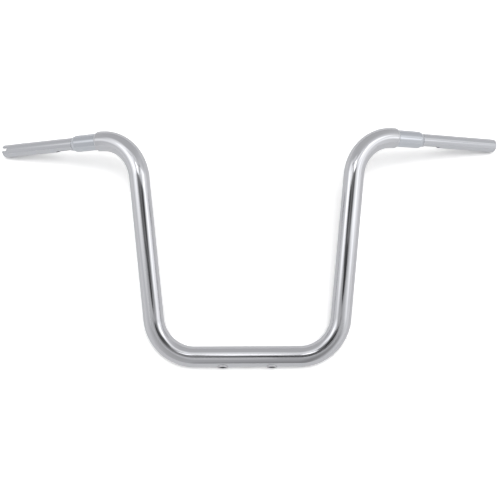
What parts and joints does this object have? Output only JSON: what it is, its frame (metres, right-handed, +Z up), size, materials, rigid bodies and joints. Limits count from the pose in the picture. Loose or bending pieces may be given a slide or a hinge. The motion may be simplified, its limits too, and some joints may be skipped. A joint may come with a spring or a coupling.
{
  "type": "ape hanger handlebar",
  "caption": "Tall bent-tube motorcycle handlebar with stepped-down grip tubes, tapped riser bungs and openings for hidden wiring.",
  "frame": {"origin": "midway between the two riser bolts, in the plane of the bungs' faces, at the height of the base tube's axis", "axes": "+X along the bar to the clutch side, +Y from the base towards the grips along the table, +Z up from the table that the bar lies on; the riser bolts screw in along +Y"},
  "size_m": [0.9818, 0.4535, 0.1253],
  "materials": {
    "main_tube_chrome": "polished chrome plate",
    "sleeve_chrome": "polished chrome plate over a turned sleeve",
    "grip_tube_chrome": "chrome plate, a little duller, where the grips cover it",
    "bung_steel": "chrome-washed face, bare tapped thread"
  },
  "bodies": {
    "root": {"main_tube": "main_tube_chrome", "throttle_side_sleeve": "sleeve_chrome", "clutch_side_sleeve": "sleeve_chrome", "throttle_side_grip_tube": "grip_tube_chrome", "clutch_side_grip_tube": "grip_tube_chrome", "throttle_side_bung": "bung_steel", "clutch_side_bung": "bung_steel"}
  },
  "joints": []
}
